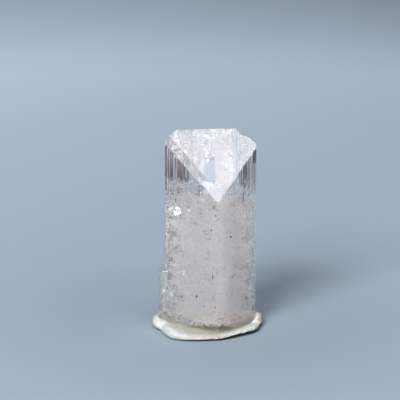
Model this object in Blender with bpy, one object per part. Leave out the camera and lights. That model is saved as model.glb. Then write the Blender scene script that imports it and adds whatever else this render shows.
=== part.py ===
# A danburite crystal standing on a pressed pad of white mounting putty.
# Lengths are in millimetres and become metres where meshes are made; +Z is up.
# The ridge of the crystal runs along X and its sharp front edge points to -Y.

import math
import random

import bmesh
import bpy
from mathutils import Matrix, Vector, noise

MM = 0.001

# prism of the crystal: four upright faces that meet at 85 and 95 degrees
FRONT_EDGE = (1.21, -10.42)       # plan position of the front edge
HALF_ANGLE = 42.6                 # degrees between a front face and straight back
LEFT_WIDTH = 14.96                # front left face, corner to corner
RIGHT_WIDTH = 13.34               # front right face, corner to corner
FRONT_BEVEL = 0.16                # the front edge is almost sharp
SIDE_BEVEL = 0.42
BACK_BEVEL = 1.48                 # the back edge is blunt, but sharp above its ledge
BACK_STEP = 1.5                   # the right back face stands out by this much beyond its step
BACK_STEP_PLACE = 7.2             # from the right edge
BACK_STEP_RUN = 0.1
BACK_LEDGE = 28.6
BACK_LEDGE_DEPTH = 0.1
SHARP_BEVEL = 0.25                # share of the back bevel that is left above the ledge
PRISM_TOP = 42.0                  # height at which the prism ends before the roof is cut

# roof of the crystal: a bright front dome, a level ridge and a back dome
TIP_HEIGHT = 28.36                # where the front dome runs out on the front edge
DOME_SLOPE = 0.95                 # rise for each millimetre of depth
RIDGE_DEPTH = 13.1                # from the front edge
STEP_DEPTH = 0.05                 # fine growth steps under the ridge
STEP_STARTS = (11.9, 12.3, 12.75)
STEP_RUN = 0.04
STEP_LEAN = 0.2                   # share of a step's depth that its run climbs back
RIDGE_FLAT = 0.5
RIDGE_DROP = 0.06                 # the ridge falls by this much over its flat
ROOF_START = -5.0
ROOF_LOW = -1.0
BACK_RUN = 14.0
SHOULDER_PLACE = (-8.0, 12.5, -0.62)    # left end of the ridge, from the front edge and the ridge
SHOULDER_NORMAL = (-0.62, 0.15, 0.77)
NOTCH_PLACE = (-4.15, 14.2, 0.45)         # a chip in the ridge, from the front edge and the ridge
NOTCH_SIZE = (0.8, 4.0, 0.85)
CHIP_JITTER = 0.015
WEDGE_OUTLINE = (                 # lost from the right end of the ridge: across from the front edge, height
    (4.4, 41.05), (5.64, 39.8), (9.5, 38.37), (9.5, 42.0), (4.4, 42.0),
)
BAND_WIDTH = 1.55                 # a slightly turned facet along the left edge of the front dome
BAND_TURN = 7.0                   # degrees
BAND_END = 5.9                    # it ends this far above the tip
ROOF_LENGTH = 40.0                # of the bars and blocks that cut the roof
BLOCK_SIZE = 12.0

# foot of the crystal: a broken face, hollow under the front edge and under the left face
FOOT_HEIGHT = 0.62
HOLLOW_HEIGHT = 1.75
HOLLOW_REACH = 6.3
LEFT_HOLLOW_PLACE = (-7.5, 8.5)
LEFT_HOLLOW_HEIGHT = 0.6
LEFT_HOLLOW_WIDTH = 3.0
HEEL_PLACE = (4.6, 5.2)           # from the front edge; here the foot hangs lower again
HEEL_DROP = 0.5
HEEL_WIDTH = 3.2
FOOT_SHARES = (0.4, 0.75)         # inner rings of the foot, as shares of the outline
FOOT_ROUGHNESS = 0.12
RIM_HEIGHT = 3.3                  # the prism's outline at this height is also the outline of the foot

# striations and ledges of the upright faces
STOREYS = (26.9, 25.0, 23.4, 21.2, 19.6, 18.2, 16.4, 14.9, 13.3, 11.4, 9.4, 7.4, 5.6, 3.9)
LEDGE_RISE = 0.1
LEDGE_REACH = 0.2                 # most that a storey stands in from the full outline
RIB_DEPTH = 0.07
RIB_WIDTH = {"front right": 0.62, "right back": 1.7, "left back": 1.7, "front left": 0.68}
PIT_DEPTH = 0.22
PIT_CHANCE = 0.16

# swelling of the left flank, a strip of later growth that climbs in small steps
FLANK_REACH = 1.4
FLANK_TOP = 19.0
FLANK_FULL = 10.6
FLANK_STEPS = 7
FLANK_STEEPNESS = 2.5             # of the steps
FLANK_BULGE = 1.6
FLANK_STRIP = 0.55                # how far the strip runs in on the front left face
FLANK_BACK = 5.0                  # and on the left back face

# raised sliver along the right shoulder
SLIVER_THICKNESS = 0.42
SLIVER_TOP = (
    (0.44, 37.0), (0.5, 37.6), (1.1, 37.8), (2.1, 38.3), (3.3, 38.9), (4.3, 39.3), (5.1, 39.7),
)
SLIVER_FOOT = 34.0

# putty pad
PAD_OUTLINE = (
    (-1.9, -1.8), (0.3, -1.7), (2.3, -0.75), (4.45, 0.45), (6.6, 1.75), (8.2, 3.1),
    (9.1, 5.3), (10.08, 9.0), (10.08, 13.0), (8.3, 17.0), (5.0, 20.2), (0.8, 22.38),
    (-3.8, 22.48), (-8.3, 19.9), (-10.6, 16.0), (-12.0, 13.0), (-12.62, 10.0), (-12.3, 7.3),
    (-11.4, 5.6), (-10.85, 2.8), (-9.4, -0.3), (-7.0, -1.5), (-4.5, -1.8),
)
LIP_HEIGHTS = (
    0.9, 0.9, 1.05, 1.2, 1.4, 1.6,
    1.5, 2.4, 1.5, 1.8, 2.0, 2.1,
    2.1, 2.2, 2.1, 1.5, 2.4, 2.2,
    1.9, 2.0, 1.9, 1.5, 1.15,
)
LIP_GAPS = (                      # the lip overhangs the floor by this much in front and at the sides
    0.3, 0.3, 0.4, 0.45, 0.45, 0.4,
    0.3, 0.2, 0.1, 0.0, 0.0, 0.0,
    0.0, 0.0, 0.0, 0.1, 0.2, 0.3,
    0.3, 0.25, 0.25, 0.25, 0.3,
)
LIP_SECTION = (                   # inset from the outline, share of the lip's own height
    (0.55, 0.0), (0.12, 0.14), (0.0, 0.42), (0.16, 0.74), (0.55, 0.95), (0.95, 1.0), (1.3, 0.9),
)
CONTACT_INSET = 1.7               # from here inwards the pad lies on the floor
SLOPE_SECTION = ((1.6, 0.35), (1.9, 0.0))     # inset, share of the way down to the dish
DISH_SHARES = (0.88, 0.6, 0.25)
DISH_HEIGHT = 0.5
FILL_SHARES = (0.5, 0.0, 0.0)     # in front the lip runs in wide and low
FILL_RIGHT = 5.0                  # the fill starts this far to the right of the front edge
FILL_REACH = 6.0                  # and grows over this width
FILL_DEPTH = 9.0                  # it ends at this depth
PAD_POINTS = 3                    # points between two points of the outline
SEAT_DEPTH = 0.3                  # the foot stands this far above the seat
SEAT_GAP = 0.3
SEAT_TOP = 6.0
DIMPLE_DEPTH = 0.3

CRYSTAL_COLOUR = (0.86, 0.83, 0.84, 1.0)
PUTTY_COLOUR = (0.80, 0.80, 0.76, 1.0)


def clear_scene():
    for old in list(bpy.data.objects):
        bpy.data.objects.remove(old, do_unlink=True)


def new_collection(name):
    made = bpy.data.collections.new(name)
    bpy.context.scene.collection.children.link(made)
    return made


def principled(name, colour, roughness, transmission=0.0, ior=1.5):
    material = bpy.data.materials.new(name)
    material.use_nodes = True
    shader = material.node_tree.nodes["Principled BSDF"]
    shader.inputs["Base Color"].default_value = colour
    shader.inputs["Roughness"].default_value = roughness
    shader.inputs["Metallic"].default_value = 0.0
    shader.inputs["Transmission Weight"].default_value = transmission
    shader.inputs["IOR"].default_value = ior
    return material


def mesh_object(name, bm, collection):
    """Turns a bmesh in millimetres into an object in metres."""
    bmesh.ops.scale(bm, vec=(MM, MM, MM), verts=bm.verts[:])
    mesh = bpy.data.meshes.new(name)
    bm.to_mesh(mesh)
    bm.free()
    made = bpy.data.objects.new(name, mesh)
    collection.objects.link(made)
    return made


def loft(name, rings, collection):
    """A closed solid through rings that hold equally many points, from the lowest ring up."""
    bm = bmesh.new()
    layers = [[bm.verts.new(point) for point in ring] for ring in rings]
    count = len(rings[0])
    for low, high in zip(layers, layers[1:]):
        for index in range(count):
            after = (index + 1) % count
            bm.faces.new((low[index], low[after], high[after], high[index]))
    bm.faces.new(reversed(layers[0]))
    bm.faces.new(layers[-1])
    bmesh.ops.triangulate(bm, faces=bm.faces[:])
    return mesh_object(name, bm, collection)


def slab(name, outline, thickness, matrix, collection):
    """A flat outline given a thickness, as a mesh; the matrix stands it in place."""
    curve = bpy.data.curves.new(name, "CURVE")
    curve.dimensions = "2D"
    curve.fill_mode = "BOTH"
    curve.extrude = thickness / 2 * MM
    spline = curve.splines.new("POLY")
    spline.points.add(len(outline) - 1)
    for point, (across, up) in zip(spline.points, outline):
        point.co = (across * MM, up * MM, 0.0, 1.0)
    spline.use_cyclic_u = True
    source = bpy.data.objects.new(name + " outline", curve)
    collection.objects.link(source)
    source.matrix_world = matrix
    bpy.context.view_layer.update()
    graph = bpy.context.evaluated_depsgraph_get()
    mesh = bpy.data.meshes.new_from_object(source.evaluated_get(graph))
    bm = bmesh.new()
    bm.from_mesh(mesh)
    bmesh.ops.remove_doubles(bm, verts=bm.verts[:], dist=1e-6)
    bmesh.ops.recalc_face_normals(bm, faces=bm.faces[:])
    bm.to_mesh(mesh)
    bm.free()
    made = bpy.data.objects.new(name, mesh)
    made.matrix_world = source.matrix_world.copy()
    collection.objects.link(made)
    bpy.data.objects.remove(source, do_unlink=True)
    return made


def as_cutter(helper):
    helper.hide_render = True
    helper.display_type = "WIRE"
    return helper


def boolean(target, helper, operation):
    modifier = target.modifiers.new(helper.name, "BOOLEAN")
    modifier.operation = operation
    modifier.solver = "EXACT"
    modifier.object = helper


def face_directions():
    """Plan directions from the front edge to the right edge and to the left edge."""
    turn = math.radians(HALF_ANGLE)
    return Vector((math.sin(turn), math.cos(turn))), Vector((-math.sin(turn), math.cos(turn)))


def corners():
    """Plan positions of the four upright edges, anticlockwise from the front."""
    to_right, to_left = face_directions()
    front = Vector(FRONT_EDGE)
    right = front + to_right * RIGHT_WIDTH
    left = front + to_left * LEFT_WIDTH
    back = left + to_right * (RIGHT_WIDTH + BACK_STEP / math.sin(2 * math.radians(HALF_ANGLE)))
    return front, right, back, left


def face_frames():
    """For each upright face its name, first corner, direction, outward normal and width."""
    to_right, to_left = face_directions()
    front, right, back, left = corners()
    for name, start, end, along in (
        ("front right", front, right, to_right),
        ("right back", right, back, to_left),
        ("left back", back, left, -to_right),
        ("front left", left, front, -to_left),
    ):
        yield name, start, along, Vector((along.y, -along.x)), (end - start).dot(along)


def rib_stations(name, width, first_bevel, last_bevel):
    """Distances along a face at which its ribs and grooves lie, uneven as on a grown face."""
    dice = random.Random("ribs " + name)
    stations = [first_bevel]
    while stations[-1] < width - last_bevel - RIB_WIDTH[name]:
        stations.append(stations[-1] + RIB_WIDTH[name] * dice.uniform(0.6, 1.4))
    stations[-1] = width - last_bevel
    if name == "right back":
        run = BACK_STEP_RUN / 2
        stations = [place for place in stations if abs(place - BACK_STEP_PLACE) > BACK_STEP_RUN * 3]
        stations = sorted(stations + [BACK_STEP_PLACE - run, BACK_STEP_PLACE + run])
    return stations


def outline_points():
    """Points round the prism: face name, plan point, outward normal, distance along, rib sign."""
    bevels = {
        "front right": (FRONT_BEVEL, SIDE_BEVEL),
        "right back": (SIDE_BEVEL, BACK_BEVEL),
        "left back": (BACK_BEVEL, SIDE_BEVEL),
        "front left": (SIDE_BEVEL, FRONT_BEVEL),
    }
    found = []
    for name, start, along, normal, width in face_frames():
        stations = rib_stations(name, width, *bevels[name])
        last = len(stations) - 1
        for index, distance in enumerate(stations):
            sign = 0 if index in (0, last) else 1 - 2 * (index % 2)
            found.append((name, start + along * distance, normal, distance, sign))
    return found


def beyond_step(name, distance):
    return name == "right back" and distance > BACK_STEP_PLACE


def flank_offset(height):
    """How far the left edge stands out at this height, in small uneven steps."""
    if height >= FLANK_TOP:
        return 0.0
    share = min(1.0, (FLANK_TOP - height) / (FLANK_TOP - FLANK_FULL))
    climb = min(1.0, FLANK_STEEPNESS * (share * FLANK_STEPS % 1.0))
    share = (math.floor(share * FLANK_STEPS) + climb) / FLANK_STEPS
    return FLANK_REACH * min(1.0, share) ** FLANK_BULGE


def storey_of(height):
    return sum(height < top for top in STOREYS)


def relief(name, distance, sign, height):
    """How far a point of an upright face stands in (minus) or out at this height."""
    face = {"front right": 0.0, "right back": 9.0, "left back": 18.0, "front left": 27.0}[name]
    storey = storey_of(height)
    rib = noise.noise(Vector((distance * 1.9 + face, 0.7 * storey, 4.2)))
    out = RIB_DEPTH * sign * (0.6 + 0.8 * rib) - RIB_DEPTH
    if beyond_step(name, distance):
        out += BACK_STEP
    if height > BACK_LEDGE and (beyond_step(name, distance) or name == "left back"):
        out -= BACK_LEDGE_DEPTH
    if storey == 0:
        return out
    ledge = noise.noise(Vector((distance * 0.28 + face, storey * 2.3, 1.1)))
    return out - LEDGE_REACH * (0.5 + ledge)


def foot_height(point):
    """Height of the broken foot under a plan point."""
    place = Vector((point[0] - FRONT_EDGE[0], point[1] - FRONT_EDGE[1]))
    hollow = HOLLOW_HEIGHT * math.exp(-((place.length / HOLLOW_REACH) ** 2))
    left_distance = (place - Vector(LEFT_HOLLOW_PLACE)).length / LEFT_HOLLOW_WIDTH
    hollow += LEFT_HOLLOW_HEIGHT * math.exp(-(left_distance ** 2))
    heel = HEEL_DROP * math.exp(-(((place - Vector(HEEL_PLACE)).length / HEEL_WIDTH) ** 2))
    return FOOT_HEIGHT + hollow - heel


def sharpened(spot, back):
    """Moves a point near the back edge along its face, so that the bevel there is narrow."""
    near = (spot - back).length
    if near > BACK_BEVEL * 1.6:
        return spot
    share = SHARP_BEVEL + (1.0 - SHARP_BEVEL) * max(0.0, near / BACK_BEVEL - 1.0) / 0.6
    return back + (spot - back) * share


def ring_at(points, height, pits=None):
    """One ring of the prism; near the left edge the swelling carries it out."""
    _, _, back, left = corners()
    swell = flank_offset(height)
    ring = []
    for name, point, normal, distance, sign in points:
        out = relief(name, distance, sign, height)
        if pits and sign and pits.random() < PIT_CHANCE:
            out -= PIT_DEPTH * pits.uniform(0.3, 1.0)
        spot = point + normal * out
        if height > BACK_LEDGE and name in ("right back", "left back"):
            spot = sharpened(spot, back)
        if name in ("left back", "front left"):
            near = (point - left).length
            reach = FLANK_STRIP if name == "front left" else FLANK_BACK
            spot.x -= swell * max(0.0, 1.0 - near / (reach + SIDE_BEVEL)) ** 0.8
        ring.append(Vector((spot.x, spot.y, height)))
    return ring


def foot_rings(points):
    """The broken underside, from its middle out to the rim."""
    front, _, back, _ = corners()
    middle = (front + back) / 2
    rim = ring_at(points, RIM_HEIGHT)
    rings = []
    for share in FOOT_SHARES:
        ring = []
        for spot in rim:
            plan = middle + (spot.xy - middle) * share
            ring.append(Vector((plan.x, plan.y, foot_height(plan))))
        rings.append(ring)
    for spot in rim:
        rough = FOOT_ROUGHNESS * noise.noise(Vector((spot.x * 0.9, spot.y * 0.9, 7.0)))
        spot.z = foot_height(spot.xy) + max(0.0, rough)
    return rings + [rim]


def prism_rings(points):
    """Rings from the foot to above the roof; a ledge is two rings close together."""
    pits = random.Random(5)
    rings = foot_rings(points)
    heights = sorted(STOREYS)
    for index, height in enumerate(heights):
        rings.append(ring_at(points, height - LEDGE_RISE / 2))
        rings.append(ring_at(points, height + LEDGE_RISE / 2))
        above = heights[index + 1] if index + 1 < len(heights) else None
        if above:
            rings.append(ring_at(points, (height + above) / 2, pits))
    rings.append(ring_at(points, BACK_LEDGE - LEDGE_RISE / 2))
    rings.append(ring_at(points, BACK_LEDGE + LEDGE_RISE / 2))
    rings.append(ring_at(points, PRISM_TOP))
    return rings


def roof_outline():
    """Depth and height of the roof's section, from low in front over the ridge to low behind."""
    def dome(depth):
        return TIP_HEIGHT + DOME_SLOPE * depth

    outline = [(ROOF_START, ROOF_LOW), (ROOF_START, dome(ROOF_START))]
    drop = 0.0
    for start in STEP_STARTS:
        outline.append((start, dome(start) - drop))
        drop += STEP_DEPTH
        outline.append((start + STEP_RUN, dome(start) - drop + STEP_DEPTH * STEP_LEAN))
    top = dome(RIDGE_DEPTH) - drop
    outline.append((RIDGE_DEPTH, top))
    outline.append((RIDGE_DEPTH + RIDGE_FLAT, top - RIDGE_DROP))
    end = RIDGE_DEPTH + RIDGE_FLAT + BACK_RUN
    outline.append((end, top - RIDGE_DROP - DOME_SLOPE * BACK_RUN))
    outline.append((end, ROOF_LOW))
    return outline


def roof_helper(cutters):
    """The roof as a long bar across the crystal: its section lies in depth and height."""
    across = Matrix.Rotation(math.pi / 2, 4, "Z") @ Matrix.Rotation(math.pi / 2, 4, "X")
    place = Matrix.Translation((0.0, FRONT_EDGE[1] * MM, 0.0))
    return as_cutter(slab("roof section", roof_outline(), ROOF_LENGTH, place @ across, cutters))


def sliver_helper(cutters):
    """The raised sliver along the right shoulder, a thin plate just inside the right back face."""
    _, right, back, _ = corners()
    along = (back - right).normalized()
    outline = [(SLIVER_TOP[0][0], SLIVER_FOOT), *SLIVER_TOP, (SLIVER_TOP[-1][0], SLIVER_FOOT)]
    stand = Matrix((
        (along.x, 0.0, along.y, 0.0),
        (along.y, 0.0, -along.x, 0.0),
        (0.0, 1.0, 0.0, 0.0),
        (0.0, 0.0, 0.0, 1.0),
    ))
    inwards = Vector((-along.y, along.x)) * (SLIVER_THICKNESS / 2 + RIB_DEPTH * 1.5)
    foot = (right + inwards) * MM
    place = Matrix.Translation((foot.x, foot.y, 0.0))
    return as_cutter(slab("shoulder sliver", outline[::-1], SLIVER_THICKNESS, place @ stand, cutters))


def wedge_helper(cutters):
    """The piece that is missing from the right end of the ridge."""
    outline = [(across + FRONT_EDGE[0], up) for across, up in WEDGE_OUTLINE]
    stand = Matrix.Rotation(math.pi / 2, 4, "X")
    return as_cutter(slab("ridge wedge", outline, ROOF_LENGTH, stand, cutters))


def band_helper(cutters):
    """A block whose lower side is the turned facet beside the left edge of the front dome."""
    turn = math.radians(HALF_ANGLE)
    tilt = math.atan(DOME_SLOPE)
    dome = Vector((0.0, -math.sin(tilt), math.cos(tilt)))
    left = Vector((-math.cos(turn), -math.sin(turn), 0.0))
    down = dome.cross(left).normalized()
    outwards = down.cross(dome)
    bend = math.radians(BAND_TURN)
    normal = dome * math.cos(bend) + outwards * math.sin(bend)
    across = outwards * math.cos(bend) - dome * math.sin(bend)
    inner = BAND_WIDTH / math.sqrt(1.0 - dome.dot(left) ** 2)
    tip = Vector((FRONT_EDGE[0], FRONT_EDGE[1], TIP_HEIGHT))
    start = tip - outwards * inner - down * BAND_END
    half = BLOCK_SIZE / 2
    centre = start - down * (ROOF_LENGTH / 2) + across * half + normal * half
    bm = bmesh.new()
    bmesh.ops.create_cube(bm, size=1.0)
    frame = Matrix((-down * ROOF_LENGTH, across * BLOCK_SIZE, normal * BLOCK_SIZE)).transposed().to_4x4()
    bmesh.ops.transform(bm, matrix=Matrix.Translation(centre) @ frame, verts=bm.verts[:])
    return as_cutter(mesh_object("left band", bm, cutters))


def chip_helper(name, place, size, cutters):
    """A rough ball that leaves a shell-shaped chip."""
    dice = random.Random(name)
    bm = bmesh.new()
    bmesh.ops.create_icosphere(bm, subdivisions=3, radius=1.0)
    for vertex in bm.verts:
        vertex.co *= dice.uniform(1.0 - CHIP_JITTER, 1.0 + CHIP_JITTER)
        vertex.co = vertex.co * Vector(size) + Vector(place)
    return as_cutter(mesh_object(name, bm, cutters))


def corner_helper(name, corner, normal, cutters):
    """A block whose lower side is the plane through a point, square to the normal."""
    bm = bmesh.new()
    bmesh.ops.create_cube(bm, size=BLOCK_SIZE)
    turn = Vector(normal).to_track_quat("Z", "Y").to_matrix().to_4x4()
    centre = Vector(corner) + Vector(normal).normalized() * (BLOCK_SIZE / 2)
    bmesh.ops.transform(bm, matrix=Matrix.Translation(centre) @ turn, verts=bm.verts[:])
    return as_cutter(mesh_object(name, bm, cutters))


def build_crystal(parts, cutters):
    crystal = loft("danburite_crystal", prism_rings(outline_points()), parts)
    crystal.data.materials.append(
        principled("clear danburite", CRYSTAL_COLOUR, 0.05, transmission=1.0, ior=1.63)
    )
    edge_x, edge_y = FRONT_EDGE
    ridge = TIP_HEIGHT + DOME_SLOPE * RIDGE_DEPTH
    boolean(crystal, roof_helper(cutters), "INTERSECT")
    boolean(crystal, band_helper(cutters), "DIFFERENCE")
    boolean(crystal, wedge_helper(cutters), "DIFFERENCE")
    boolean(crystal, sliver_helper(cutters), "UNION")
    shoulder = (edge_x + SHOULDER_PLACE[0], edge_y + SHOULDER_PLACE[1], ridge + SHOULDER_PLACE[2])
    boolean(crystal, corner_helper("left shoulder", shoulder, SHOULDER_NORMAL, cutters), "DIFFERENCE")
    notch = (edge_x + NOTCH_PLACE[0], edge_y + NOTCH_PLACE[1], ridge + NOTCH_PLACE[2])
    boolean(crystal, chip_helper("ridge notch", notch, NOTCH_SIZE, cutters), "DIFFERENCE")
    return crystal


def smooth_loop(values, count):
    """Catmull-Rom through a closed list of vectors, with count points for each span."""
    total = len(values)
    found = []
    for index in range(total):
        a, b, c, d = (values[(index + shift) % total] for shift in (-1, 0, 1, 2))
        for part in range(count):
            t = part / count
            found.append(0.5 * (
                2 * b + (c - a) * t + (2 * a - 5 * b + 4 * c - d) * t * t
                + (3 * b - a - 3 * c + d) * t ** 3
            ))
    return found


def pad_rim():
    """Plan point, lip height, gap under the lip and inward normal round the putty."""
    edge = Vector(FRONT_EDGE)
    outline = [Vector((point[0] + edge.x, point[1] + edge.y)) for point in PAD_OUTLINE]
    plan = smooth_loop(outline, PAD_POINTS)
    lips = smooth_loop([Vector(pair) for pair in zip(LIP_HEIGHTS, LIP_GAPS)], PAD_POINTS)
    rim = []
    for index, here in enumerate(plan):
        along = (plan[(index + 1) % len(plan)] - plan[index - 1]).normalized()
        lip, gap = lips[index]
        rim.append((here, lip, max(0.0, gap), Vector((-along.y, along.x))))
    return rim


def front_fill(point):
    """1 at the front and left front of the pad, 0 at its right and its back."""
    across, depth = point.x - FRONT_EDGE[0], point.y - FRONT_EDGE[1]
    share = min(1.0, max(0.0, (FILL_RIGHT - across) / FILL_REACH))
    return share * min(1.0, max(0.0, FILL_DEPTH - depth))


def pad_rings():
    """Rings from the flat underside, out round the bulging lip and in over the dish."""
    rim = pad_rim()
    middle = sum((point for point, _, _, _ in rim), Vector((0.0, 0.0))) / len(rim)
    rings = [[(point + inward * CONTACT_INSET).to_3d() for point, _, _, inward in rim]]
    for inset, share in LIP_SECTION:
        ring = []
        for point, lip, gap, inward in rim:
            dent = DIMPLE_DEPTH * noise.noise(Vector((point.x * 0.55, point.y * 0.55, share * 2.0)))
            spot = point + inward * (inset + max(0.0, dent) * share)
            ring.append(Vector((spot.x, spot.y, gap + (lip - gap) * share)))
        rings.append(ring)
    for inset, share in SLOPE_SECTION:
        ring = []
        for point, lip, _, inward in rim:
            spot = point + inward * inset
            top = lip * LIP_SECTION[-1][1]
            ring.append(Vector((spot.x, spot.y, DISH_HEIGHT + (top - DISH_HEIGHT) * share)))
        rings.append(ring)
    rim_inset = SLOPE_SECTION[-1][0]
    for share, fill in zip(DISH_SHARES, FILL_SHARES):
        ring = []
        for point, lip, _, inward in rim:
            spot = middle + (point + inward * rim_inset - middle) * share
            rise = fill * front_fill(point) * (lip * LIP_SECTION[-1][1] - DISH_HEIGHT)
            ring.append(Vector((spot.x, spot.y, DISH_HEIGHT + rise)))
        rings.append(ring)
    return rings


def seat_helper(cutters):
    """The crystal's outline, a gap wider all round, from the seat up past the lip."""
    points = outline_points()
    rings = []
    for height in (FOOT_HEIGHT - SEAT_DEPTH, SEAT_TOP):
        ring = []
        for (_, _, normal, _, _), spot in zip(points, ring_at(points, RIM_HEIGHT)):
            plan = spot.xy + normal * (SEAT_GAP + RIB_DEPTH)
            ring.append(Vector((plan.x, plan.y, height)))
        rings.append(ring)
    return as_cutter(loft("seat", rings, cutters))


def build_putty(parts, cutters):
    putty = loft("mounting_putty", pad_rings(), parts)
    putty.data.materials.append(principled("white putty", PUTTY_COLOUR, 0.55))
    boolean(putty, seat_helper(cutters), "DIFFERENCE")
    putty.data.shade_smooth()
    putty.data.set_sharp_from_angle(angle=math.radians(40))
    return putty


def main():
    clear_scene()
    parts = new_collection("danburite on putty")
    cutters = new_collection("cutters")
    build_crystal(parts, cutters)
    build_putty(parts, cutters)


main()
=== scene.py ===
import math
import random

import bmesh
import bpy
import numpy as np
from mathutils import Matrix, Vector, noise


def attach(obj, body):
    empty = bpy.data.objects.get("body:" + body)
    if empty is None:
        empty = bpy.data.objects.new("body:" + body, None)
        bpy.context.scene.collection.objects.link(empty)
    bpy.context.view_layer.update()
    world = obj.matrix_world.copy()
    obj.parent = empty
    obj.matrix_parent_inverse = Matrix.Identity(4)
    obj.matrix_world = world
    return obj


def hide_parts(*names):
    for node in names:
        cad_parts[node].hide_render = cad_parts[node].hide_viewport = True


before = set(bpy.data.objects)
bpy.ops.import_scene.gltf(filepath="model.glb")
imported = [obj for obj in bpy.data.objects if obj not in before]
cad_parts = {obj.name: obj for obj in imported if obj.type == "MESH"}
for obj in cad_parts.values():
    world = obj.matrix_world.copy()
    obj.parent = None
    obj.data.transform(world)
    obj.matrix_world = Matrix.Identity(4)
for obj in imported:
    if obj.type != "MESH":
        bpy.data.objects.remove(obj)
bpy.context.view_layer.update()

mm = 0.001  # lengths are in millimetres until a mesh is made
print("frame loaded")


# helpers for every piece

def placeObject(name, data):
    made = bpy.data.objects.new(name, data)
    bpy.context.scene.collection.objects.link(made)
    return made


def linkMesh(name, bm):
    bmesh.ops.scale(bm, vec=(mm, mm, mm), verts=bm.verts[:])
    mesh = bpy.data.meshes.new(name)
    bm.to_mesh(mesh)
    bm.free()
    return placeObject(name, mesh)


def loft(name, rings):
    # rings of equally many points, lowest first, closed at both ends
    bm = bmesh.new()
    layers = [[bm.verts.new(point) for point in ring] for ring in rings]
    count = len(rings[0])
    for low, high in zip(layers, layers[1:]):
        for index in range(count):
            after = (index + 1) % count
            bm.faces.new((low[index], low[after], high[after], high[index]))
    ends = [bm.faces.new(reversed(layers[0])), bm.faces.new(layers[-1])]
    bmesh.ops.triangulate(bm, faces=ends)
    return linkMesh(name, bm)


def bar(name, outline, place, length):
    # a flat outline across and up, drawn out along its own third axis, then placed
    bm = bmesh.new()
    face = bm.faces.new([bm.verts.new((across, up, -length / 2)) for across, up in outline])
    grown = bmesh.ops.extrude_face_region(bm, geom=[face])
    moved = [item for item in grown["geom"] if isinstance(item, bmesh.types.BMVert)]
    bmesh.ops.translate(bm, vec=(0, 0, length), verts=moved)
    bm.normal_update()
    bmesh.ops.recalc_face_normals(bm, faces=bm.faces[:])
    bmesh.ops.transform(bm, matrix=place, verts=bm.verts[:])
    return linkMesh(name, bm)


def carve(target, helper, operation):
    # a Boolean that is applied at once, after which the helper is gone
    modifier = target.modifiers.new("carve", "BOOLEAN")
    modifier.operation = operation
    modifier.solver = "EXACT"
    modifier.object = helper
    bpy.context.view_layer.update()
    graph = bpy.context.evaluated_depsgraph_get()
    mesh = bpy.data.meshes.new_from_object(target.evaluated_get(graph))
    target.modifiers.clear()
    old = target.data
    target.data = mesh
    bpy.data.meshes.remove(old)
    bpy.data.objects.remove(helper, do_unlink=True)


def wave(x, y, z=0.0):
    return noise.noise(Vector((x, y, z)))


def newMaterial(name):
    material = bpy.data.materials.new(name)
    material.use_nodes = True
    tree = material.node_tree
    return material, tree, tree.nodes["Principled BSDF"]


def setInputs(tree, node, inputs):
    # a number, a colour or another node's output for each input
    for key, value in inputs.items():
        if isinstance(value, bpy.types.NodeSocket):
            tree.links.new(value, node.inputs[key])
        else:
            node.inputs[key].default_value = value


def addNode(tree, kind, inputs, **settings):
    made = tree.nodes.new("ShaderNode" + kind)
    for name, value in settings.items():
        setattr(made, name, value)
    setInputs(tree, made, inputs)
    return made


def mathNode(tree, operation, *values, clamp=False):
    inputs = dict(enumerate(values))
    return addNode(tree, "Math", inputs, operation=operation, use_clamp=clamp).outputs["Value"]


def objectPlace(tree):
    return addNode(tree, "TexCoord", {}).outputs["Object"]


def splitUp(tree, vector):
    return addNode(tree, "SeparateXYZ", {"Vector": vector}).outputs


def noiseAt(tree, place, scale, detail=2.0):
    return addNode(tree, "TexNoise", {"Vector": place, "Scale": scale, "Detail": detail}).outputs["Fac"]


def remap(tree, value, start, end, first=0.0, last=1.0):
    inputs = {"Value": value, "From Min": start, "From Max": end, "To Min": first, "To Max": last}
    return addNode(tree, "MapRange", inputs).outputs["Result"]


def colourRamp(tree, share, stops):
    # a place and a colour for each stop, lowest first
    ramp = addNode(tree, "ValToRGB", {"Fac": share})
    elements = ramp.color_ramp.elements
    while len(elements) < len(stops):
        elements.new(0.5)
    for element, (at, colour) in zip(elements, stops):
        element.position = at
        element.color = colour
    return ramp.outputs["Color"]


def mixColours(tree, share, plain, full):
    inputs = {"Factor": share, "A": plain, "B": full}
    return addNode(tree, "Mix", inputs, data_type="RGBA").outputs["Result"]


def patchyMaterial(name, scale, stops, roughness, detail=3.0, metallic=0.0):
    # colours that change over in soft patches; a pair for the roughness changes with them
    material, tree, shader = newMaterial(name)
    patches = noiseAt(tree, objectPlace(tree), scale, detail)
    if isinstance(roughness, tuple):
        roughness = remap(tree, patches, 0.3, 0.7, *roughness)
    colour = colourRamp(tree, patches, stops)
    setInputs(tree, shader, {"Base Color": colour, "Roughness": roughness, "Metallic": metallic})
    return material


# the crystal: what a user would change

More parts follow.
